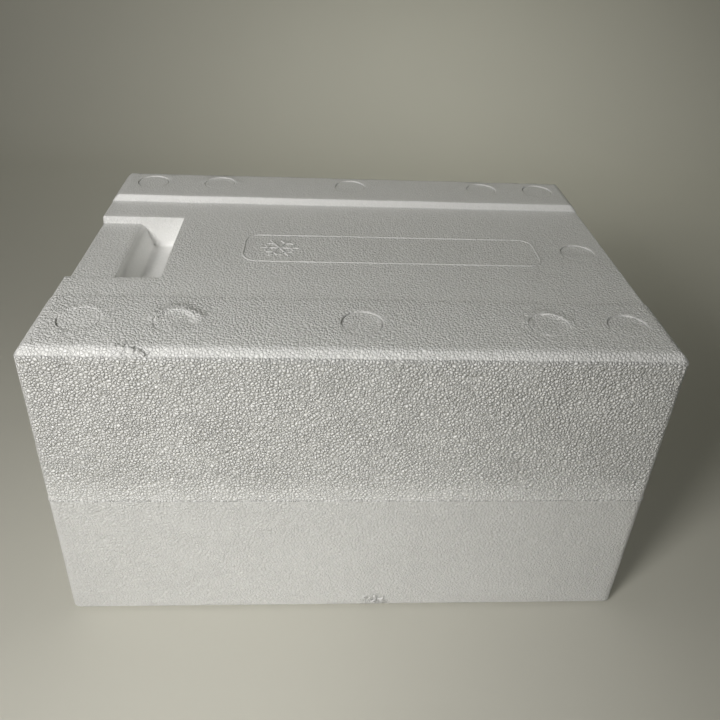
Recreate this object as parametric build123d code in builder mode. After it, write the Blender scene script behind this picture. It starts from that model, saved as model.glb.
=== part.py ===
from build123d import *

import os

# Expanded-polystyrene storage box in two mouldings: a deep base and a deep lift-off lid.
#
# The two halves meet on a flat parting plane a little below mid-height. A continuous tongue
# on the base's rim enters a groove in the lid's rim, so that the lid can't slide and cold air
# can't leak straight out. The lid's top has a shallow channel along its length between two
# rails, and a hand-hold at its left end: a shallow ledge open to the side, then a deep finger
# slot. Both halves carry the round witness marks of the mould's filling guns and ejectors.
#
# Units are millimetres. +X runs along the box, +Y towards its back and +Z up, and the origin
# is the centre of the face that the box stands on.

# Outer shape
LENGTH = 420.0  # along X
DEPTH = 300.0  # along Y
HEIGHT = 240.0  # with the lid on
PARTING_Z = 115.0  # the plane where lid and base meet
CORNER_R = 6.0  # upright outer edges
TOP_R = 6.0  # outer edges of the lid's top
BOTTOM_R = 4.0  # outer edges of the base's underside
FLASH_OUT = 0.4  # how far the base's moulding flash stands out of the wall
FLASH_HIGH = 1.2  # height of that flash, just under the parting plane

# Cavity
WALL = 40.0  # foam thickness of the four sides at the rim
FLOOR_Z = 40.0  # floor of the base's cavity
CEILING_Z = 185.0  # ceiling of the lid's cavity
DRAFT = 1.5  # lean of the cavity walls, in degrees
CAVITY_CORNER_R = 18.0  # upright edges
CAVITY_EDGE_R = 8.0  # where the walls meet the floor or the ceiling

# Tongue on the base, groove in the lid
TONGUE_INSET = WALL / 2  # from the outer wall to the tongue's centreline
TONGUE_CORNER_R = 16.0  # of that centreline
TONGUE_WIDE = 14.0  # at the root
TONGUE_HIGH = 10.0
TONGUE_TAPER = 8.0  # lean of each side, in degrees
TONGUE_EDGE_R = 1.5
GROOVE_SIDE_GAP = 0.8
GROOVE_END_GAP = 1.2

# Channel along the lid's top
CHANNEL_DEEP = 6.0
CHANNEL_FRONT_Y = -83.0
CHANNEL_BACK_Y = 92.0

# Hand-hold at the channel's left end
HOLD_FRONT_Y = -47.0
HOLD_BACK_Y = 58.0
HOLD_CORNER_R = 3.0
LEDGE_DEEP = 6.0  # below the channel's floor
SLOT_DEEP = 27.0  # below the channel's floor
SLOT_LEFT_X = -177.0  # top of the finger slot's left side, before rounding
SLOT_FOOT_X = -172.0  # foot of that side, before rounding
SLOT_RIGHT_X = -142.0
SHOULDER_R = 6.0  # rounding from the ledge into the slot
SLOT_FOOT_R = 9.0  # rounding at the foot of the left side
SLOT_HEEL_R = 3.0  # rounding at the foot of the right side

# Round witness marks of the mould
MARK_R = 14.0
MARK_SUNK = 0.8  # how far the disc is sunk
MARK_GROOVE_WIDE = 1.0
MARK_GROOVE_DEEP = 1.4
RAIL_MARK_XS = (-180.0, -119.0, 2.0, 127.0, 181.0)
FRONT_MARK_Y = -113.0
BACK_MARK_Y = 125.0
CHANNEL_MARK = (185.0, 7.0)
UNDERSIDE_MARK_X = 150.0
UNDERSIDE_MARK_Y = 95.0

# Raised lines on the channel's floor: a blank label frame with a snowflake at its left end
LINE_WIDE = 1.6
LINE_HIGH = 0.8
LINE_ROOT = 0.5  # how far the lines reach down into the foam, so that they fuse with it
PANEL_CENTRE = (32.0, 5.0)
PANEL_LONG = 236.0
PANEL_WIDE = 46.0
PANEL_CORNER_R = 12.0
FLAKE_X = -58.0
FLAKE_R = 15.0
FLAKE_ARMS = 6
BRANCH_AT = 8.5  # distance from the flake's centre to where an arm's side branches start
BRANCH_LONG = 6.0
BRANCH_LEAN = 60.0  # degrees between an arm and its side branches

PAST = 10.0  # how far a cutting shape runs past the faces that it cuts
CHANNEL_Z = HEIGHT - CHANNEL_DEEP
LEDGE_Z = CHANNEL_Z - LEDGE_DEEP
SLOT_Z = CHANNEL_Z - SLOT_DEEP
PARTING = Plane.XY.offset(PARTING_Z)
PARTING_DOWN = Plane(origin=(0, 0, PARTING_Z), x_dir=(1, 0, 0), z_dir=(0, 0, -1))


def rim_outline(wide):
    """A filled outline whose edge lies that far outside the tongue's centreline."""
    return RectangleRounded(
        LENGTH - 2 * TONGUE_INSET + 2 * wide,
        DEPTH - 2 * TONGUE_INSET + 2 * wide,
        TONGUE_CORNER_R + wide,
    )


def rim_ridge(wide, high):
    """A tapered ridge that runs round the rim and stands on the parting plane."""
    with BuildPart() as ridge:
        with BuildSketch(PARTING):
            rim_outline(wide / 2)
        extrude(amount=high, taper=TONGUE_TAPER)
        with BuildSketch(PARTING):
            rim_outline(-wide / 2)
        extrude(amount=high, taper=-TONGUE_TAPER, mode=Mode.SUBTRACT)
    return ridge


def sink_marks(plane, places):
    """Cuts round witness marks into the open part: a sunken disc with a groove round it."""
    with BuildSketch(plane) as discs:
        with Locations(*places):
            Circle(MARK_R)
    extrude(discs.sketch, amount=-MARK_SUNK, mode=Mode.SUBTRACT)
    with BuildSketch(plane) as grooves:
        with Locations(*places):
            Circle(MARK_R)
            Circle(MARK_R - MARK_GROOVE_WIDE, mode=Mode.SUBTRACT)
    extrude(grooves.sketch, amount=-MARK_GROOVE_DEEP, mode=Mode.SUBTRACT)


def cavity_below(plane, deep):
    """Cuts the drafted cavity into the open part, from the plane along its normal."""
    with BuildSketch(plane) as mouth:
        RectangleRounded(LENGTH - 2 * WALL, DEPTH - 2 * WALL, CAVITY_CORNER_R)
    extrude(mouth.sketch, amount=deep, taper=DRAFT, mode=Mode.SUBTRACT)


# --- base -------------------------------------------------------------------------------
tongue = rim_ridge(TONGUE_WIDE, TONGUE_HIGH)
with BuildPart() as base:
    with BuildSketch():
        RectangleRounded(LENGTH, DEPTH, CORNER_R)
    extrude(amount=PARTING_Z)
    fillet(base.edges().group_by(Axis.Z)[0], radius=BOTTOM_R)
    with BuildSketch(Plane.XY.offset(PARTING_Z - FLASH_HIGH)):
        RectangleRounded(LENGTH + 2 * FLASH_OUT, DEPTH + 2 * FLASH_OUT, CORNER_R + FLASH_OUT)
    extrude(amount=FLASH_HIGH)
    cavity_below(PARTING_DOWN, PARTING_Z - FLOOR_Z)
    cavity_floor = base.faces().filter_by(Axis.Z).sort_by(lambda f: abs(f.center().Z - FLOOR_Z))[0]
    fillet(cavity_floor.edges(), radius=CAVITY_EDGE_R)
    add(tongue.part)
    fillet(base.edges().group_by(Axis.Z)[-1], radius=TONGUE_EDGE_R)
    sink_marks(
        Plane.XY.rotated((180, 0, 0)),
        [
            (side * UNDERSIDE_MARK_X, end * UNDERSIDE_MARK_Y)
            for side in (-1, 0, 1)
            for end in (-1, 1)
        ],
    )
base.part.label = "base"

# --- lid --------------------------------------------------------------------------------
with BuildPart() as channel:
    with BuildSketch(Plane.XY.offset(CHANNEL_Z)):
        with Locations((0, (CHANNEL_FRONT_Y + CHANNEL_BACK_Y) / 2)):
            Rectangle(LENGTH + 2 * PAST, CHANNEL_BACK_Y - CHANNEL_FRONT_Y)
    extrude(amount=CHANNEL_DEEP + PAST)

with BuildPart() as hand_hold:
    with BuildSketch(Plane.XZ.offset(-HOLD_BACK_Y)) as profile:
        with BuildLine():
            FilletPolyline(
                (-LENGTH / 2 - PAST, LEDGE_Z),
                (SLOT_LEFT_X, LEDGE_Z),
                (SLOT_FOOT_X, SLOT_Z),
                (SLOT_RIGHT_X, SLOT_Z),
                (SLOT_RIGHT_X, CHANNEL_Z + PAST),
                radius=[SHOULDER_R, SLOT_FOOT_R, SLOT_HEEL_R],
            )
            Polyline(
                (SLOT_RIGHT_X, CHANNEL_Z + PAST),
                (-LENGTH / 2 - PAST, CHANNEL_Z + PAST),
                (-LENGTH / 2 - PAST, LEDGE_Z),
            )
        make_face()
    extrude(amount=HOLD_BACK_Y - HOLD_FRONT_Y)
    fillet(hand_hold.edges().filter_by(Axis.Z).group_by(Axis.X)[-1], radius=HOLD_CORNER_R)

groove = rim_ridge(TONGUE_WIDE + 2 * GROOVE_SIDE_GAP, TONGUE_HIGH + GROOVE_END_GAP)
with BuildPart() as lid:
    with BuildSketch(PARTING):
        RectangleRounded(LENGTH, DEPTH, CORNER_R)
    extrude(amount=HEIGHT - PARTING_Z)
    fillet(lid.edges().group_by(Axis.Z)[-1], radius=TOP_R)
    cavity_below(PARTING, CEILING_Z - PARTING_Z)
    ceiling = lid.faces().filter_by(Axis.Z).sort_by(lambda f: abs(f.center().Z - CEILING_Z))[0]
    fillet(ceiling.edges(), radius=CAVITY_EDGE_R)
    add(groove.part, mode=Mode.SUBTRACT)
    add(channel.part, mode=Mode.SUBTRACT)
    add(hand_hold.part, mode=Mode.SUBTRACT)
    rail_marks = [(x, y) for x in RAIL_MARK_XS for y in (FRONT_MARK_Y, BACK_MARK_Y)]
    sink_marks(Plane.XY.offset(HEIGHT), rail_marks)
    sink_marks(Plane.XY.offset(CHANNEL_Z), [CHANNEL_MARK])
    with BuildSketch(Plane.XY.offset(CHANNEL_Z - LINE_ROOT)):
        with Locations(PANEL_CENTRE):
            RectangleRounded(PANEL_LONG, PANEL_WIDE, PANEL_CORNER_R)
            RectangleRounded(
                PANEL_LONG - 2 * LINE_WIDE,
                PANEL_WIDE - 2 * LINE_WIDE,
                PANEL_CORNER_R - LINE_WIDE,
                mode=Mode.SUBTRACT,
            )
        with Locations((FLAKE_X, PANEL_CENTRE[1])):
            with PolarLocations(FLAKE_R / 2, FLAKE_ARMS):
                Rectangle(FLAKE_R, LINE_WIDE)
            with PolarLocations(BRANCH_AT, FLAKE_ARMS):
                for lean in (-BRANCH_LEAN, BRANCH_LEAN):
                    Rectangle(BRANCH_LONG, LINE_WIDE, rotation=lean, align=(Align.MIN, Align.CENTER))
    extrude(amount=LINE_ROOT + LINE_HIGH)
lid.part.label = "lid"

os.makedirs("parts", exist_ok=True)
for piece in (base, lid):
    export_step(piece.part, f"parts/{piece.part.label}.step")
    print(piece.part.label, "volume in litres", round(piece.part.volume / 1e6, 3))
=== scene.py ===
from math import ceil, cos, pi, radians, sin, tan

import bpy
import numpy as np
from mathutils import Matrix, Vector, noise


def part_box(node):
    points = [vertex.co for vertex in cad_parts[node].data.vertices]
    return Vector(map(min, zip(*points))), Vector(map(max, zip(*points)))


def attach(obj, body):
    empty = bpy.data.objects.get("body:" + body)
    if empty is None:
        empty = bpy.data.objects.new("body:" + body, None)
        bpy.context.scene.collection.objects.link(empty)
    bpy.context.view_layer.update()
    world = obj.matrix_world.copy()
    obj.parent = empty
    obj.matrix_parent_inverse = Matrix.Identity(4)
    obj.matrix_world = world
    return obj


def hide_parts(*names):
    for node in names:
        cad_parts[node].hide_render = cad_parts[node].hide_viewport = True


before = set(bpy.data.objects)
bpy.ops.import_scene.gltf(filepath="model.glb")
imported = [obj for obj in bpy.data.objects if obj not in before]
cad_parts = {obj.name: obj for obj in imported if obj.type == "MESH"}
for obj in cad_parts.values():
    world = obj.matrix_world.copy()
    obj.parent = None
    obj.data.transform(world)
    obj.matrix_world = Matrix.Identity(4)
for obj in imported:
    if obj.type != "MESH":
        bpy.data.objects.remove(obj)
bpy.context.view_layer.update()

# Looks of a shipping box moulded in two halves from expanded polystyrene. Each half is one
# dense mesh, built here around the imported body: a grid drawn over a box, with its edges
# rounded, its moulded relief pressed in and its wear added, then closed through the rim into
# the cavity. Lengths are in millimetres, which MM turns into metres. Only the floor, the
# lights and the plain numbers given to shader nodes are in metres to begin with.

MM = 0.001

# --- the frame --------------------------------------------------------------------------
LID_LOW, LID_HIGH = (np.array(corner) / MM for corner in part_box("lid"))
HALF_X, HALF_Y = LID_HIGH[0], LID_HIGH[1]  # the wall is flush on both halves
PARTING_Z, TOP_Z = LID_LOW[2], LID_HIGH[2]

# --- sizes that the design gives ----------------------------------------------------------
EDGE_R = 6.0
UNDER_EDGE_R = 4.0
FLASH_OUT = 0.4
FLASH_HIGH = 1.2
WALL = 40.0
FLOOR_Z, CEILING_Z = 40.0, 185.0
CAVITY_CORNER_R = 18.0
CAVITY_EDGE_R = 8.0
DRAFT = tan(radians(1.5))
TONGUE_INSET = 20.0
TONGUE_CORNER_R = 16.0
TONGUE_HALF = 7.0
TONGUE_HIGH = 10.0
TONGUE_TAPER = tan(radians(8))
GROOVE_SIDE_GAP = 0.8
GROOVE_END_GAP = 1.2

CHANNEL_DEEP = 6.0
CHANNEL_EDGE_R = 1.2  # of the channel's and the ledge's own edge at the ends
CHANNEL_FRONT_Y, CHANNEL_BACK_Y = -83.0, 92.0
HOLD_FRONT_Y, HOLD_BACK_Y = -47.0, 58.0
LEDGE_DEEP = 6.0
SLOT_DEEP = 27.0
SLOT_LEFT_X, SLOT_RIGHT_X = -173.5, -142.0
SHOULDER_R, SLOT_FOOT_R, SLOT_HEEL_R = 7.0, 4.0, 3.0

MARK_R = 14.0
MARK_GROOVE_WIDE = 1.0
MARK_SUNK, MARK_GROOVE_DEEP = 0.8, 1.4
MARK_WINDOW = 20.0  # half the side of the square of grid that bends round a mark
FRONT_MARK_Y, BACK_MARK_Y = -113.0, 125.0
CHANNEL_MARK = (185.0, 7.0)
UNDER_MARK_XS, UNDER_MARK_YS = (-150.0, 0.0, 150.0), (-95.0, 95.0)
ONE_OF_EACH_X = 5  # this many marks from the start of a list have every x with lines of its own
# centre, depth of the near and of the far half compared with a crisp mark, how torn the far rim is
TOP_MARKS = (
    ((-180.0, FRONT_MARK_Y), 1.5, 0.3, 0.2),
    ((-119.0, FRONT_MARK_Y), 1.3, 0.3, 1.0),
    ((2.0, FRONT_MARK_Y), 1.3, 1.5, 0.1),
    ((127.0, FRONT_MARK_Y), 0.6, 0.9, 0.5),
    ((181.0, FRONT_MARK_Y), 0.3, 1.5, 0.1),
    ((-180.0, BACK_MARK_Y), 1.0, 1.5, 0.0),
    ((-119.0, BACK_MARK_Y), 0.3, 0.7, 0.25),
    ((2.0, BACK_MARK_Y), 1.0, 1.4, 0.0),
    ((127.0, BACK_MARK_Y), 0.8, 1.2, 0.2),
    ((181.0, BACK_MARK_Y), 0.8, 1.4, 0.0),
    (CHANNEL_MARK, 0.5, 1.6, 0.1),
)
UNDER_MARKS = tuple(((x, y), 1.0, 1.0, 0.0) for x in UNDER_MARK_XS for y in UNDER_MARK_YS)

LINE_HALF = 0.8
LINE_HIGH = 0.5
LINE_ROOT = 0.6
PANEL_CENTRE = (32.0, 5.0)
PANEL_LONG, PANEL_WIDE, PANEL_CORNER_R = 236.0, 46.0, 12.0
FLAKE_X = -58.0
FLAKE_R = 15.0
BRANCH_AT, BRANCH_LONG = 8.5, 6.0

# --- looks --------------------------------------------------------------------------------
GRID = 5.0  # widest gap between grid lines
WALL_GRID = 6.0  # the same up the walls
FINE = 1.1  # gap between grid lines where the foam is chipped
CHIP_X, CHIP_LONG = -141.0, 30.0  # torn spot on the lid's top front edge
NICK_X, NICK_Z, NICK_LONG = 21.0, 8.0, 26.0  # crushed spot low on the base's front
NICK_REACH = 8.0  # how far up and down from its middle it goes
BEAD = 2.1  # size of a foam bead
LID_WHITE = (0.95, 0.95, 0.935, 1)
BASE_WHITE = (0.76, 0.76, 0.747, 1)
SEAM_SHADE = (0.5, 0.5, 0.48, 1)  # painted shade in the crevices between beads
FLOOR_TONE = (0.57, 0.56, 0.495, 1)
INSIDE_LID_BEAD, INSIDE_BASE_BEAD = 0.45, 0.4  # beads on the rim and inside
BASE_BEAD = 0.3
LINE_BEAD, LINE_TORN = 0.3, 0.25


def noise_at(points, size, seed=0.0):
    """Smooth noise, about -1 to 1, whose lumps are roughly that size."""
    shift = Vector((seed * 37.1, seed * 17.7, seed * 5.3))
    return np.array([noise.noise(Vector(p) / size + shift) for p in points])


def smooth(low, high, value):
    """0 below low, 1 above high, and a smooth rise between them."""
    t = np.clip((value - low) / (high - low), 0, 1)
    return t * t * (3 - 2 * t)


# --- grid lines ---------------------------------------------------------------------------
def arc_steps(radius, parts=4):
    """Distances from a box edge at which grid lines divide its rounding evenly."""
    return [radius * (1 - tan(pi / 4 * k / parts)) for k in range(parts + 1)]


def grid_lines(low, high, *wanted, gap=GRID, least=0.12):
    """Sorted lines from low to high through the wanted places, no two nearer than least."""
    kept = [low]
    for value in sorted(v for v in wanted if low < v < high):
        if value - kept[-1] >= least and high - value >= least:
            kept.append(value)
    kept.append(high)
    spread = []
    for a, b in zip(kept, kept[1:]):
        parts = ceil((b - a) / gap - 1e-6)
        spread.extend(a + (b - a) * k / parts for k in range(parts))
    return np.array(spread + [high])


def mark_lines(centre):
    """Lines across one mark: at the disc's edge, the groove's floor and both its rims."""
    rim = MARK_R - MARK_GROOVE_WIDE
    steps = (0, 3, 6, 9, 11.4, rim - 0.5, rim, rim + 0.35, MARK_R - 0.3, MARK_R + 0.1, 15, 17, MARK_WINDOW)
    return [centre + side * step for side in (-1, 1) for step in steps]


def step_profile(deep, top_r, foot_r, lean):
    """Offsets and heights of a step down: rounded over, a leaning face, rounded at the foot."""
    turns = np.linspace(0, pi / 2, 5)
    offsets = [*(top_r * (np.sin(turns) - 1)), *(lean + foot_r * (1 - np.cos(turns)))]
    heights = [*(top_r * (np.cos(turns) - 1)), *(foot_r * (1 - np.sin(turns)) - deep)]
    return np.array(offsets), np.array(heights)


CHANNEL_STEP = step_profile(CHANNEL_DEEP, top_r=1.2, foot_r=1.0, lean=0.8)
HOLD_STEP = step_profile(SLOT_DEEP, top_r=0.8, foot_r=2.0, lean=0.9)
HEEL_STEP = step_profile(SLOT_DEEP, top_r=0.8, foot_r=SLOT_HEEL_R, lean=0.9)
SHOULDER = step_profile(SLOT_DEEP - LEDGE_DEEP, top_r=SHOULDER_R, foot_r=SLOT_FOOT_R, lean=3.5)


# --- moulded relief -----------------------------------------------------------------------
def channel_drop(x, y):
    """How far the channel and the hand-hold lie below the rails, as a negative height."""
    front = np.interp(y - CHANNEL_FRONT_Y, *CHANNEL_STEP)
    back = np.interp(CHANNEL_BACK_Y - y, *CHANNEL_STEP)
    floor = np.interp(x - SLOT_LEFT_X, *SHOULDER) - LEDGE_DEEP
    sides = [
        np.interp(y - HOLD_FRONT_Y, *HOLD_STEP),
        np.interp(HOLD_BACK_Y - y, *HOLD_STEP),
        np.interp(SLOT_RIGHT_X - x, *HEEL_STEP),
    ]
    return np.maximum(front, back) + np.maximum.reduce([floor, *sides])


def scraped(drop):
    """1 on the steps' faces, the shoulder and in the finger slot, where the skin is smooth."""
    deep = -drop
    ledge = CHANNEL_DEEP + LEDGE_DEEP
    channel_step = smooth(0.3, 1.2, deep) * (1 - smooth(CHANNEL_DEEP - 1.2, CHANNEL_DEEP - 0.4, deep))
    ledge_step = smooth(CHANNEL_DEEP + 0.4, CHANNEL_DEEP + 1.5, deep)
    ledge_step *= 1 - smooth(ledge - 1.5, ledge - 0.4, deep)
    slot = smooth(ledge + 0.2, ledge + 1.2, deep)
    return np.clip(channel_step + ledge_step + slot, 0, 1)


def bend_round_marks(xy, marks):
    """Moves grid points sideways so that the grid's squares become circles round each mark."""
    bent = xy.copy()
    for centre, *_ in marks:
        window = np.array([nearest_window(centre[0], marks), centre[1]])
        local = xy - window
        square = np.abs(local).max(axis=1)
        inside = (square > 1e-6) & (square < MARK_WINDOW)
        away = local[inside]
        level = square[inside][:, None]
        circle = away / np.linalg.norm(away, axis=1, keepdims=True) * level
        share = 1 - smooth(MARK_R + 0.5, MARK_WINDOW, level)
        bent[inside] = window + away + (circle - away) * share + (np.array(centre) - window) * share
    return bent


def nearest_window(x, marks):
    """The middle of the grid lines that serve a mark at x."""
    return min((m[0][0] for m in marks[:ONE_OF_EACH_X]), key=lambda other: abs(other - x))


def mark_relief(xy, marks):
    """Height of the round marks: a sunken disc inside a deeper groove, with a torn far rim."""
    height = np.zeros(len(xy))
    torn_share = np.zeros(len(xy))
    rim = MARK_R - MARK_GROOVE_WIDE
    for index, (centre, near_deep, far_deep, torn) in enumerate(marks):
        local = xy - np.array(centre)
        radius = np.linalg.norm(local, axis=1)
        close = radius < MARK_WINDOW + 4
        if not close.any():
            continue
        wobble = 0.25 * noise_at(np.c_[local[close], np.zeros(close.sum())], 7.0, index + 3)
        profile = np.interp(
            radius[close] + wobble * torn,
            [0, rim - 0.4, rim, rim + 0.35, MARK_R - 0.3, MARK_R + 0.15],
            [-MARK_SUNK, -MARK_SUNK, -MARK_SUNK, -MARK_GROOVE_DEEP, -MARK_GROOVE_DEEP, 0],
        )
        flat = np.c_[local[close], np.full(close.sum(), index * 11.0)]
        fade = 1 - torn * smooth(-0.1, 0.45, noise_at(flat, 9.0, 1))
        far = smooth(-3, 6, local[close][:, 1]) * (1 - smooth(2.2, 4.5, np.abs(radius[close] - MARK_R - 0.6)))
        ridge = far * torn * np.clip(noise_at(flat, 2.3, 2) + 0.35, 0, 1) * 1.7
        crisp = near_deep + (far_deep - near_deep) * smooth(-6, 6, local[close][:, 1])
        disc = np.maximum(profile, -MARK_SUNK)
        groove = (profile - disc) * 1.8 * crisp
        height[close] += (disc * np.minimum(crisp, 1) + groove) * fade + ridge
        torn_share[close] = np.maximum(torn_share[close], far * torn)
    return height, torn_share


def edge_chip(points):
    """Depth of the torn spot on the lid's top front edge: a curved crack with a lifted lip."""
    along = points[:, 0] - CHIP_X
    down = (TOP_Z - points[:, 2]) - (points[:, 1] + HALF_Y)
    near = np.abs(along) < CHIP_LONG / 2
    near &= (points[:, 1] < EDGE_R + 4 - HALF_Y) & (points[:, 2] > TOP_Z - EDGE_R - 4)
    shape = np.zeros(len(points))
    if not near.any():
        return shape
    a, d = along[near], down[near]
    inside = (1 - smooth(9, 14, np.abs(a))) * (1 - smooth(4.5, 8, np.abs(d)))
    crack_line = 0.35 * a - 1.0 + 1.2 * noise_at(np.c_[a, d * 0, a * 0], 5.0, 9)
    crack = np.exp(-(((d - crack_line) / 1.0) ** 2)) * smooth(-9, -5, a) * (1 - smooth(6, 9, a))
    lip = np.exp(-(((d - crack_line + 2.4) / 1.5) ** 2)) * smooth(-12, -6, a) * (1 - smooth(8, 12, a))
    rough = noise_at(points[near], 2.2, 4)
    shape[near] = inside * (-2.2 * crack + lip * (1.0 + 1.9 * rough) + 0.9 * rough)
    return shape


def front_nick(points):
    """Depth of the crushed, crumbled spot low on the base's front."""
    local = np.c_[points[:, 0] - NICK_X, points[:, 2] - NICK_Z]
    near = (np.abs(local[:, 0]) < NICK_LONG / 2) & (np.abs(local[:, 1]) < NICK_REACH)
    near &= points[:, 1] < EDGE_R - HALF_Y
    shape = np.zeros(len(points))
    if near.any():
        inside = 1 - smooth(7, 12.5, np.abs(local[near][:, 0]))
        inside *= 1 - smooth(2.5, 5.5, np.abs(local[near][:, 1]))
        shape[near] = inside * (2.0 * noise_at(points[near], 2.4, 6) - 0.5)
    return shape


def worn_edges(points, outward, seed):
    """Small dents along the rounded edges, where the normal is between two axes."""
    slant = 1 - np.abs(outward).max(axis=1)
    dents = smooth(0.25, 0.6, noise_at(points, 9.0, seed))
    dents = dents + 0.5 * smooth(0.3, 0.6, noise_at(points, 4.0, seed + 1))
    return -0.55 * smooth(0.03, 0.25, slant) * dents


# --- grids over a box ---------------------------------------------------------------------
def sheet(u, v, place):
    """Box points and quads of the grid u by v, where place gives a point's three coordinates."""
    across, along = (axis.ravel() for axis in np.meshgrid(u, v, indexing="ij"))
    index = np.arange(across.size).reshape(len(u), len(v))
    corners = (index[:-1, :-1], index[1:, :-1], index[1:, 1:], index[:-1, 1:])
    return np.stack(place(across, along), axis=1), np.stack(corners, axis=-1).reshape(-1, 4)


def weld(sheets):
    """Joins sheets along the points that they share."""
    points, quads, start = [], [], 0
    for sheet_points, sheet_quads in sheets:
        points.append(sheet_points)
        quads.append(sheet_quads + start)
        start += len(sheet_points)
    unique, index = np.unique(np.round(np.concatenate(points), 4), axis=0, return_inverse=True)
    return unique, index.ravel()[np.concatenate(quads)]


def open_box(x, y, z, closed_z):
    """Four sides and the end at closed_z, as welded grids. The other end is open."""
    def flat(value, like):
        return np.full_like(like, value)
    sheets = [sheet(x, z, lambda a, b, side=side: (a, flat(side, a), b)) for side in (y[0], y[-1])]
    sheets += [sheet(y, z, lambda a, b, side=side: (flat(side, a), a, b)) for side in (x[0], x[-1])]
    sheets.append(sheet(x, y, lambda a, b: (a, b, flat(closed_z, a))))
    return weld(sheets)


def round_off(points, low, high, radii, flatten=0.0):
    """Rounds the edges of box points, the upper ones as nearly a chamfer as flatten says, and
    gives each point's outward direction."""
    inner = np.minimum(np.maximum(points, low + radii), high - radii)
    outward = (points - inner) / radii
    outward /= np.linalg.norm(outward, axis=1, keepdims=True)
    sideways = np.linalg.norm(outward[:, :2], axis=1, keepdims=True)
    chamfer = 1 / (np.abs(outward[:, 2:]) + sideways) - 1
    reach = 1 + chamfer * flatten * smooth(0, 0.2, outward[:, 2:])
    return inner + radii * outward * reach, outward


def ring(perimeter, inset, radius, z):
    """A loop inside the outer wall, rounded at its corners, with the perimeter's points."""
    half = np.array([HALF_X, HALF_Y])
    scaled = perimeter * (half - inset) / half
    limit = half - inset - radius
    inner = np.clip(scaled, -limit, limit)
    away = scaled - inner
    away /= np.linalg.norm(away, axis=1, keepdims=True)
    return np.c_[inner + radius * away, np.full(len(perimeter), z)]


def perimeter_of(x, y):
    """The open end's outline as box points in order, each once."""
    front = [(a, y[0]) for a in x[:-1]]
    right = [(x[-1], b) for b in y[:-1]]
    back = [(a, y[-1]) for a in x[:0:-1]]
    left = [(x[0], b) for b in y[:0:-1]]
    return np.array(front + right + back + left)


def close_inside(points, faces, first_loop, perimeter, rings):
    """Adds the rings one inside the other from the skin's open edge, and closes the last."""
    loops = [first_loop]
    for spec in rings:
        loops.append(np.arange(len(points), len(points) + len(perimeter)))
        points = np.concatenate([points, ring(perimeter, *spec)])
    for outer, inner in zip(loops, loops[1:]):
        faces.extend(np.stack([outer, np.roll(outer, -1), np.roll(inner, -1), inner], axis=1).tolist())
    faces.append(loops[-1].tolist())
    return points, faces


def cavity_rings(rim_z, end_z):
    """Rings from the rim's inner edge down the cavity's wall and out over its end."""
    sign = 1 if end_z > rim_z else -1
    deep = abs(end_z - rim_z)
    rings = [
        (WALL - 1.0, CAVITY_CORNER_R + 1, rim_z),
        (WALL - 0.3, CAVITY_CORNER_R + 0.3, rim_z + sign * 0.3),
    ]
    wall_end = deep - CAVITY_EDGE_R
    for k in range(7):
        down = 1.0 + (wall_end - 1.0) * k / 6
        rings.append((WALL + DRAFT * down, CAVITY_CORNER_R - DRAFT * down, rim_z + sign * down))
    foot = WALL + DRAFT * wall_end
    for turn in np.linspace(0, pi / 2, 6)[1:]:
        inset = foot + CAVITY_EDGE_R * (1 - cos(turn))
        corner = max(CAVITY_CORNER_R - 2 - CAVITY_EDGE_R * (1 - cos(turn)), 4)
        rings.append((inset, corner, rim_z + sign * (wall_end + CAVITY_EDGE_R * sin(turn))))
    rings += [(inset, 4.0, end_z) for inset in (foot + 20, foot + 45, foot + 70)]
    return rings


def rim_rings(half, high, edge=0.5):
    """Rings over the tongue, or through the groove, across the rim at the parting plane."""
    lean = TONGUE_TAPER * high
    sides = []
    for side in (1, -1):
        profile = [
            (half + edge, PARTING_Z),
            (half - 0.1 * lean, PARTING_Z + 0.1 * high),
            (half - 0.85 * lean, PARTING_Z + 0.85 * high),
            (half - lean - edge * 0.3, PARTING_Z + 0.97 * high),
            (half - lean - edge, PARTING_Z + high),
        ]
        sides.append(profile if side == 1 else profile[::-1])
    rings = [(TONGUE_INSET - out, TONGUE_CORNER_R + out, z) for out, z in sides[0]]
    rings += [(TONGUE_INSET + out, TONGUE_CORNER_R - out, z) for out, z in sides[1]]
    return rings


# --- raised lines -------------------------------------------------------------------------
def ribbon(path, closed, z):
    """A raised line along a path: points and quads of a low ridge rooted in the foam."""
    path = np.array(path, float)
    ahead = np.roll(path, -1, axis=0) - path
    behind = path - np.roll(path, 1, axis=0)
    if not closed:
        ahead[-1], behind[0] = behind[-1], ahead[0]
    tangent = ahead / np.linalg.norm(ahead, axis=1, keepdims=True)
    tangent += behind / np.linalg.norm(behind, axis=1, keepdims=True)
    tangent /= np.linalg.norm(tangent, axis=1, keepdims=True)
    normal = np.c_[-tangent[:, 1], tangent[:, 0]]
    left_half = [(-1.0, -LINE_ROOT), (-1.0, 0.35 * LINE_HIGH), (-0.55, LINE_HIGH)]
    section = left_half + [(-across, up) for across, up in left_half[::-1]]
    points = np.concatenate([
        np.c_[path + normal * across * LINE_HALF, np.full(len(path), z + up)] for across, up in section
    ])
    count, sides = len(path), len(section)
    faces = []
    for s in range(sides):
        for k in range(count if closed else count - 1):
            a, b = k, (k + 1) % count
            t = (s + 1) % sides
            faces.append([s * count + a, s * count + b, t * count + b, t * count + a])
    if not closed:
        faces.append([s * count for s in range(sides)])
        faces.append([s * count + count - 1 for s in range(sides)][::-1])
    return points, faces


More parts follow.
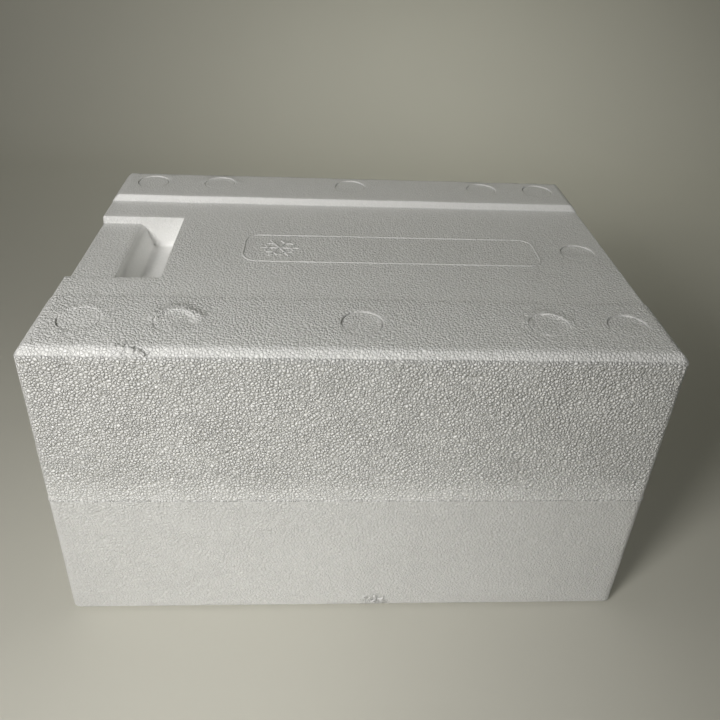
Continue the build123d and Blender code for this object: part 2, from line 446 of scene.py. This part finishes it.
def rounded_frame(centre, long, wide, radius, parts=8):
    """Points round a rectangle with rounded corners, about 6 mm apart on its straight runs."""
    path = []
    corners = [(1, 1, 0), (-1, 1, 90), (-1, -1, 180), (1, -1, 270)]
    for side_x, side_y, start in corners:
        middle = np.array(centre) + ((long / 2 - radius) * side_x, (wide / 2 - radius) * side_y)
        for k in range(parts + 1):
            turn = radians(start + 90 * k / parts)
            path.append(middle + radius * np.array([cos(turn), sin(turn)]))
    filled = []
    for a, b in zip(path, path[1:] + path[:1]):
        steps = max(1, ceil(np.linalg.norm(b - a) / 6))
        filled.extend(a + (b - a) * k / steps for k in range(steps))
    return filled


def snowflake(centre):
    """The straight strokes of a plain six-armed flake."""
    strokes = []
    for arm in range(6):
        turn = radians(60 * arm)
        out = np.array([cos(turn), sin(turn)])
        strokes.append([centre + out * (0.4 + k * FLAKE_R / 6) for k in range(7)])
        for lean in (-60, 60):
            side = np.array([cos(turn + radians(lean)), sin(turn + radians(lean))])
            strokes.append([centre + out * BRANCH_AT + side * BRANCH_LONG * k / 3 for k in range(4)])
    return strokes


# --- meshes -------------------------------------------------------------------------------
def make_piece(name, points, faces, fields, body):
    """A piece from points in millimetres, with per-point fields for its material."""
    mesh = bpy.data.meshes.new(name)
    mesh.from_pydata((points * MM).tolist(), [], [[int(i) for i in face] for face in faces])
    mesh.validate()
    for field, values in fields.items():
        layer = mesh.attributes.new(field, "FLOAT", "POINT")
        layer.data.foreach_set("value", np.asarray(values, np.float32))
    piece = bpy.data.objects.new(name, mesh)
    bpy.context.scene.collection.objects.link(piece)
    bpy.context.view_layer.objects.active = piece
    piece.select_set(True)
    bpy.ops.object.mode_set(mode="EDIT")
    bpy.ops.mesh.select_all(action="SELECT")
    bpy.ops.mesh.normals_make_consistent(inside=False)
    bpy.ops.object.mode_set(mode="OBJECT")
    piece.select_set(False)
    mesh.shade_smooth()
    mesh.set_sharp_from_angle(angle=radians(50))
    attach(piece, body)
    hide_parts(body)
    return piece


def skin_loop(box_points, perimeter, z):
    """Indices of the skin's open edge, in the perimeter's order."""
    found = {tuple(p): i for i, p in enumerate(np.round(box_points, 4).tolist())}
    return np.array([found[(round(x, 4), round(y, 4), round(z, 4))] for x, y in perimeter.tolist()])


def add_inside(points, quads, box, x, y, rings):
    """Adds the rim and the cavity to a skin, and gives all its points and faces."""
    perimeter = perimeter_of(x, y)
    loop = skin_loop(box, perimeter, PARTING_Z)
    return close_inside(points, quads.tolist(), loop, perimeter, rings)


def lid_grid():
    """Grid lines of the lid's box, close together wherever it has something small."""
    edges = arc_steps(EDGE_R)
    upper_edges = [*edges, 0.35, 0.8, CHANNEL_EDGE_R]
    chip_lines = np.arange(CHIP_X - CHIP_LONG / 2, CHIP_X + CHIP_LONG / 2, FINE)
    x_wanted = [side * (HALF_X - e) for side in (-1, 1) for e in upper_edges]
    x_wanted += [v for (x, _), *_ in TOP_MARKS[:ONE_OF_EACH_X] for v in mark_lines(x)]
    x_wanted += [*(SLOT_LEFT_X + SHOULDER[0]), *(SLOT_RIGHT_X - HEEL_STEP[0]), *chip_lines]
    y_wanted = [side * (HALF_Y - e) for side in (-1, 1) for e in edges]
    y_wanted += [v for y in (FRONT_MARK_Y, CHANNEL_MARK[1], BACK_MARK_Y) for v in mark_lines(y)]
    y_wanted += [*(CHANNEL_FRONT_Y + CHANNEL_STEP[0]), *(CHANNEL_BACK_Y - CHANNEL_STEP[0])]
    y_wanted += [*(HOLD_FRONT_Y + HOLD_STEP[0]), *(HOLD_BACK_Y - HOLD_STEP[0])]
    z_wanted = [TOP_Z - e for e in upper_edges]
    z_wanted += [PARTING_Z + 0.6, PARTING_Z + 2, TOP_Z - 8, TOP_Z - 10]
    x = grid_lines(-HALF_X, HALF_X, *x_wanted)
    y = grid_lines(-HALF_Y, HALF_Y, *y_wanted)
    return x, y, grid_lines(PARTING_Z, TOP_Z, *z_wanted, gap=WALL_GRID)


def lid_bead(height, outward, y, drop, relief):
    """How strongly the beads show: least on scraped faces, and less on edges and on the top."""
    rise = smooth(PARTING_Z, PARTING_Z + 28, height)
    bead = (1 - 0.9 * scraped(drop)) * (0.6 + 0.4 * rise)
    bead *= 1 - 0.7 * smooth(MARK_SUNK + 0.1, MARK_SUNK + 0.5, -relief)
    upward = outward[:, 2]
    edge_band = smooth(0.2, 0.4, upward) * (1 - smooth(0.85, 0.97, upward))
    top_bead = 0.45 - 0.1 * smooth(-86, -78, y) - 0.22 * smooth(-20, 110, y)
    bead *= 1 - 0.6 * edge_band - (1 - top_bead) * smooth(0.85, 0.97, upward)
    return bead


def add_raised_lines(points, faces, bead, torn):
    """Adds the empty frame and the flake to the channel's floor."""
    flake_centre = np.array([FLAKE_X, PANEL_CENTRE[1]])
    lines = [(rounded_frame(PANEL_CENTRE, PANEL_LONG, PANEL_WIDE, PANEL_CORNER_R), True)]
    lines += [(stroke, False) for stroke in snowflake(flake_centre)]
    for path, closed in lines:
        line_points, line_faces = ribbon(path, closed, TOP_Z - CHANNEL_DEEP)
        faces.extend([[i + len(points) for i in face] for face in line_faces])
        points = np.concatenate([points, line_points])
        bead = np.concatenate([bead, np.full(len(line_points), LINE_BEAD)])
        torn = np.concatenate([torn, np.full(len(line_points), LINE_TORN)])
    return points, faces, bead, torn


def build_lid():
    x, y, z = lid_grid()
    box, quads = open_box(x, y, z, TOP_Z)
    low = np.array([-HALF_X, -HALF_Y, PARTING_Z - EDGE_R])
    high = np.array([HALF_X, HALF_Y, TOP_Z])
    on_top = box[:, 2] > TOP_Z - 1e-3
    bent = box.copy()
    bent[on_top, :2] = bend_round_marks(box[on_top, :2], TOP_MARKS)
    sharp = smooth(0.5, 5, -channel_drop(bent[:, 0], bent[:, 1])) * smooth(TOP_Z - 12, TOP_Z - 6, box[:, 2])
    radii = np.full((len(bent), 3), EDGE_R)
    radii[:, 0] = radii[:, 2] = EDGE_R + (CHANNEL_EDGE_R - EDGE_R) * sharp
    points, outward = round_off(bent, low, high, radii, flatten=0.75)

    drop = channel_drop(points[:, 0], points[:, 1])
    relief, torn = np.zeros(len(points)), np.zeros(len(points))
    relief[on_top], torn[on_top] = mark_relief(points[on_top, :2], TOP_MARKS)
    chip = edge_chip(points)
    swell = 0.22 * noise_at(points, 45.0, 1) + 0.10 * noise_at(points, 14.0, 2)
    swell = swell * smooth(PARTING_Z + 2, PARTING_Z + 14, box[:, 2]) - 0.1
    points = points + outward * (swell + chip + worn_edges(points, outward, 5))[:, None]
    points[:, 2] += relief + drop * smooth(TOP_Z - 45, TOP_Z - 14, box[:, 2])
    bevel = box[:, 2] < PARTING_Z + 1e-3
    points[bevel, :2] -= outward[bevel, :2] * 0.15

    bead = lid_bead(points[:, 2], outward, box[:, 1], drop, relief)
    rings = rim_rings(TONGUE_HALF + GROOVE_SIDE_GAP, TONGUE_HIGH + GROOVE_END_GAP)
    rings += cavity_rings(PARTING_Z, CEILING_Z)
    points, faces = add_inside(points, quads, box, x, y, rings)
    hidden = len(points) - len(bead)
    bead = np.concatenate([bead, np.full(hidden, INSIDE_LID_BEAD)])
    torn = np.clip(np.concatenate([torn + np.abs(chip), np.zeros(hidden)]), 0, 1)
    points, faces, bead, torn = add_raised_lines(points, faces, bead, torn)
    return make_piece("foam_lid", points, faces, {"bead": bead, "torn": torn}, "lid")


def base_grid():
    """Grid lines of the base's box, close together wherever it has something small."""
    edges, under_edges = arc_steps(EDGE_R), arc_steps(UNDER_EDGE_R)
    nick = np.arange(-NICK_LONG / 2, NICK_LONG / 2, FINE)
    x_wanted = [side * (HALF_X - e) for side in (-1, 1) for e in edges]
    x_wanted += [v for x in UNDER_MARK_XS for v in mark_lines(x)] + [*(NICK_X + nick)]
    y_wanted = [side * (HALF_Y - e) for side in (-1, 1) for e in edges]
    y_wanted += [v for y in UNDER_MARK_YS for v in mark_lines(y)]
    z_wanted = [*under_edges, *np.arange(0, NICK_Z + NICK_REACH, FINE)]
    z_wanted += [PARTING_Z - FLASH_HIGH * k for k in (0.25, 0.75, 1.0, 1.4)]
    x = grid_lines(-HALF_X, HALF_X, *x_wanted)
    y = grid_lines(-HALF_Y, HALF_Y, *y_wanted)
    return x, y, grid_lines(0.0, PARTING_Z, *z_wanted, gap=WALL_GRID)


def build_base():
    x, y, z = base_grid()
    box, quads = open_box(x, y, z, 0.0)
    low = np.array([-HALF_X, -HALF_Y, 0.0])
    high = np.array([HALF_X, HALF_Y, PARTING_Z + UNDER_EDGE_R])
    under_face = box[:, 2] < 1e-3
    bent = box.copy()
    bent[under_face, :2] = bend_round_marks(box[under_face, :2], UNDER_MARKS)
    points, outward = round_off(bent, low, high, np.array([EDGE_R, EDGE_R, UNDER_EDGE_R]))

    relief = np.zeros(len(points))
    relief[under_face], _ = mark_relief(points[under_face, :2], UNDER_MARKS)
    damage = front_nick(points)
    swell = 0.2 * noise_at(points, 50.0, 11) + 0.06 * noise_at(points, 15.0, 12)
    swell = (swell - 0.1) * smooth(-2, 8, box[:, 2]) * (1 - smooth(PARTING_Z - 14, PARTING_Z - 3, box[:, 2]))
    flash = np.interp(PARTING_Z - box[:, 2], [0, 0.3, 0.9, FLASH_HIGH], [1, 1, 1, 0]) * FLASH_OUT
    points = points + outward * (swell + damage + flash + worn_edges(points, outward, 15))[:, None]
    points[:, 2] -= relief
    points[:, 2] = np.maximum(points[:, 2], 0)

    skin_count = len(points)
    rings = rim_rings(TONGUE_HALF, TONGUE_HIGH) + cavity_rings(PARTING_Z, FLOOR_Z)
    points, faces = add_inside(points, quads, box, x, y, rings)
    hidden = len(points) - skin_count
    bead = np.concatenate([np.full(skin_count, BASE_BEAD), np.full(hidden, INSIDE_BASE_BEAD)])
    torn = np.clip(np.concatenate([np.abs(damage), np.zeros(hidden)]), 0, 1)
    return make_piece("foam_base", points, faces, {"bead": bead, "torn": torn}, "base")


# --- materials ----------------------------------------------------------------------------
class Nodes:
    """Shorthand for building one material's nodes."""

    def __init__(self, name):
        self.material = bpy.data.materials.new(name)
        self.material.use_nodes = True
        self.tree = self.material.node_tree
        self.shader = self.tree.nodes["Principled BSDF"]

    def add(self, kind, inputs=(), **settings):
        node = self.tree.nodes.new(kind)
        for key, value in settings.items():
            setattr(node, key, value)
        for key, value in dict(inputs).items():
            self.put(node.inputs[key], value)
        return node

    def put(self, socket, value):
        if isinstance(value, bpy.types.NodeSocket):
            self.tree.links.new(value, socket)
        else:
            socket.default_value = value

    def math(self, operation, a, b):
        return self.add("ShaderNodeMath", {0: a, 1: b}, operation=operation).outputs[0]

    def cloud(self, place, scale, detail):
        inputs = {"Vector": place, "Scale": scale, "Detail": detail}
        return self.add("ShaderNodeTexNoise", inputs)

    def range(self, value, low, high, to_low, to_high):
        inputs = {"Value": value, "From Min": low, "From Max": high, "To Min": to_low, "To Max": to_high}
        return self.add("ShaderNodeMapRange", inputs).outputs["Result"]

    def mix(self, share, a, b):
        """The colour a where share is 0 and b where it is 1."""
        node = self.add("ShaderNodeMix", data_type="RGBA")
        self.put(node.inputs["Factor"], share)
        self.put(node.inputs[6], a)
        self.put(node.inputs[7], b)
        return node.outputs[2]


def foam(name, white, relief, roughness):
    """Fused foam beads: domed cells with fine seams darkened by painted shade, each bead a slightly different
    white.
    """
    n = Nodes(name)
    place = n.add("ShaderNodeTexCoord").outputs["Object"]
    bead_field = n.add("ShaderNodeAttribute", attribute_name="bead").outputs["Fac"]
    torn_field = n.add("ShaderNodeAttribute", attribute_name="torn").outputs["Fac"]
    scale = 1 / (BEAD * MM)
    warp = n.cloud(place, scale * 0.35, 1.0).outputs["Color"]
    shifted = n.add("ShaderNodeVectorMath", {0: warp, "Scale": 0.9 * BEAD * MM}, operation="SCALE")
    moved = n.add("ShaderNodeVectorMath", {0: place, 1: shifted.outputs[0]}, operation="ADD").outputs[0]
    cells = n.add("ShaderNodeTexVoronoi", {"Vector": moved, "Scale": scale}, feature="F1")
    seams = n.add("ShaderNodeTexVoronoi", {"Vector": moved, "Scale": scale}, feature="DISTANCE_TO_EDGE")
    dome = n.range(cells.outputs["Distance"], 0.0, 0.75, 1.0, 0.0)
    gap = n.range(seams.outputs["Distance"], 0.0, 0.2, 0.0, 1.0)
    lot = n.add("ShaderNodeSeparateColor", {0: cells.outputs["Color"]})
    patches = n.cloud(place, 38.0, 2.0).outputs["Fac"]
    strength = n.math("MULTIPLY", bead_field, n.range(patches, 0.3, 0.7, 0.9, 1.1))
    height = n.math("ADD", n.math("MULTIPLY", dome, 0.55), n.math("MULTIPLY", gap, 0.35))
    height = n.math("ADD", height, n.math("MULTIPLY", lot.outputs[1], 0.45))
    height = n.math("MULTIPLY", height, strength)
    crumbs = n.cloud(place, scale * 0.8, 3.0).outputs["Fac"]
    height = n.math("ADD", height, n.math("MULTIPLY", crumbs, n.math("MULTIPLY", torn_field, 1.6)))
    skin = n.cloud(place, scale * 1.7, 2.0).outputs["Fac"]
    height = n.math("ADD", height, n.math("MULTIPLY", skin, 0.10))
    bump = n.add("ShaderNodeBump", {"Strength": 1.0, "Distance": relief * MM, "Height": height})
    pale = n.mix(n.range(lot.outputs[0], 0.0, 1.0, 0.0, 1.0), white, [c * 0.955 for c in white[:3]] + [1])
    # Painted shade: the crevices between the beads are darkened in colour, where shade falls, as strongly as
    # the beads show.
    in_seam = n.range(seams.outputs["Distance"], 0.0, 0.14, 1.0, 0.0)
    seam_shade_share = n.math("MULTIPLY", in_seam, n.math("MULTIPLY", strength, 0.75))
    seam_shaded = n.mix(seam_shade_share, pale, SEAM_SHADE)
    cloud = n.cloud(place, 9.0, 4.0).outputs["Fac"]
    colour = n.mix(n.range(cloud, 0.42, 0.72, 0.0, 0.25), seam_shaded, [c * 0.93 for c in white[:3]] + [1])
    gloss = n.range(lot.outputs[2], 0.0, 1.0, roughness - 0.1, roughness + 0.12)
    n.put(n.shader.inputs["Base Color"], colour)
    n.put(n.shader.inputs["Roughness"], gloss)
    n.put(n.shader.inputs["Normal"], bump.outputs["Normal"])
    n.put(n.shader.inputs["Subsurface Weight"], 0.12)
    n.put(n.shader.inputs["Subsurface Radius"], (0.004, 0.004, 0.0038))
    n.put(n.shader.inputs["Subsurface Scale"], 1.0)
    return n.material


def studio(name, tone, roughness):
    """Plain painted floor or backdrop with a hardly visible unevenness."""
    n = Nodes(name)
    place = n.add("ShaderNodeTexCoord").outputs["Object"]
    cloud = n.cloud(place, 3.0, 3.0).outputs["Fac"]
    darker = [c * 0.97 for c in tone[:3]] + [1]
    n.put(n.shader.inputs["Base Color"], n.mix(n.range(cloud, 0.3, 0.7, 0.0, 1.0), tone, darker))
    n.put(n.shader.inputs["Roughness"], roughness)
    return n.material


# --- studio -------------------------------------------------------------------------------
def build_sweep():
    """A floor that curves up into a plain backdrop behind the box."""
    back, bend, high, wide, front = 1.15, 0.35, 2.2, 3.0, -2.5
    profile = [(front, 0.0), (back - bend, 0.0)]
    profile += [(back - bend + bend * sin(a), bend * (1 - cos(a))) for a in np.linspace(0, pi / 2, 17)[1:]]
    profile.append((back, high))
    points = [(side * wide, y, z) for y, z in profile for side in (-1, 1)]
    faces = [(2 * k, 2 * k + 1, 2 * k + 3, 2 * k + 2) for k in range(len(profile) - 1)]
    mesh = bpy.data.meshes.new("sweep")
    mesh.from_pydata(points, [], faces)
    mesh.shade_smooth()
    sweep = bpy.data.objects.new("sweep", mesh)
    mesh.materials.append(studio("sweep_paint", FLOOR_TONE, roughness=0.7))
    bpy.context.scene.collection.objects.link(sweep)


def aim(obj, place, target):
    """Puts obj at place, looking at target."""
    direction = Vector(target) - Vector(place)
    obj.location = place
    obj.rotation_euler = direction.to_track_quat("-Z", "Y").to_euler()


def area_light(name, place, target, size, power, colour, spread=180.0):
    """A round soft light at place, pointed at target, in metres, watts and degrees."""
    light = bpy.data.lights.new(name, "AREA")
    light.shape, light.size = "DISK", size
    light.energy, light.color = power, colour
    light.spread = radians(spread)
    lamp = bpy.data.objects.new(name, light)
    bpy.context.scene.collection.objects.link(lamp)
    aim(lamp, place, target)


def build_lights():
    warm = (1.0, 0.985, 0.96)
    pale_yellow = (1.0, 1.0, 0.88)
    faint_yellow = (1.0, 1.0, 0.92)
    area_light("key", (-0.48, -0.7, 0.68), (-0.1, -0.1, 0.1), size=0.28, power=5.6, colour=warm)
    area_light("back_right", (0.85, 0.7, 1.25), (0.05, 0.0, 0.12), size=0.9, power=0.8, colour=pale_yellow)
    area_light("pool", (-0.25, -1.0, 0.5), (-0.06, -0.28, 0.0), size=0.2, power=0.2, colour=warm, spread=42)
    above, low_on_it = (0.2, 0.65, 1.5), (0.2, 1.15, 0.5)
    area_light("backdrop", above, low_on_it, size=0.5, power=2.0, colour=faint_yellow, spread=90)
    world = bpy.data.worlds.new("room")
    world.use_nodes = True
    background = world.node_tree.nodes["Background"]
    background.inputs["Color"].default_value = (0.96, 0.97, 0.90, 1)
    background.inputs["Strength"].default_value = 0.08
    bpy.context.scene.world = world


def build_camera():
    """The camera stands in front of the box, a little to its left, looking down at it."""
    place = Vector((-28.7, -505.9, 490.2)) * MM
    pitch, yaw, roll = 0.5349, 0.0722, 0.0527  # radians
    forward = Vector((sin(yaw) * cos(pitch), cos(yaw) * cos(pitch), -sin(pitch)))
    level = Vector((cos(yaw), -sin(yaw), 0))
    upright = level.cross(forward)
    right = cos(roll) * level + sin(roll) * upright
    up = cos(roll) * upright - sin(roll) * level
    data = bpy.data.cameras.new("camera")
    data.sensor_width = 36.0
    data.lens = 35.61
    data.shift_y = -0.0833
    data.clip_start = 0.01
    camera = bpy.data.objects.new("camera", data)
    axes = Matrix((right, up, -forward)).transposed().to_4x4()
    camera.matrix_world = Matrix.Translation(place) @ axes
    bpy.context.scene.collection.objects.link(camera)
    bpy.context.scene.camera = camera


build_camera()
lid = build_lid()
lid.data.materials.append(foam("foam_lid_beads", LID_WHITE, relief=1.85, roughness=0.42))
base = build_base()
base.data.materials.append(foam("foam_base_skin", BASE_WHITE, relief=2.2, roughness=0.45))
build_sweep()
build_lights()
bpy.context.scene.view_settings.view_transform = "Standard"
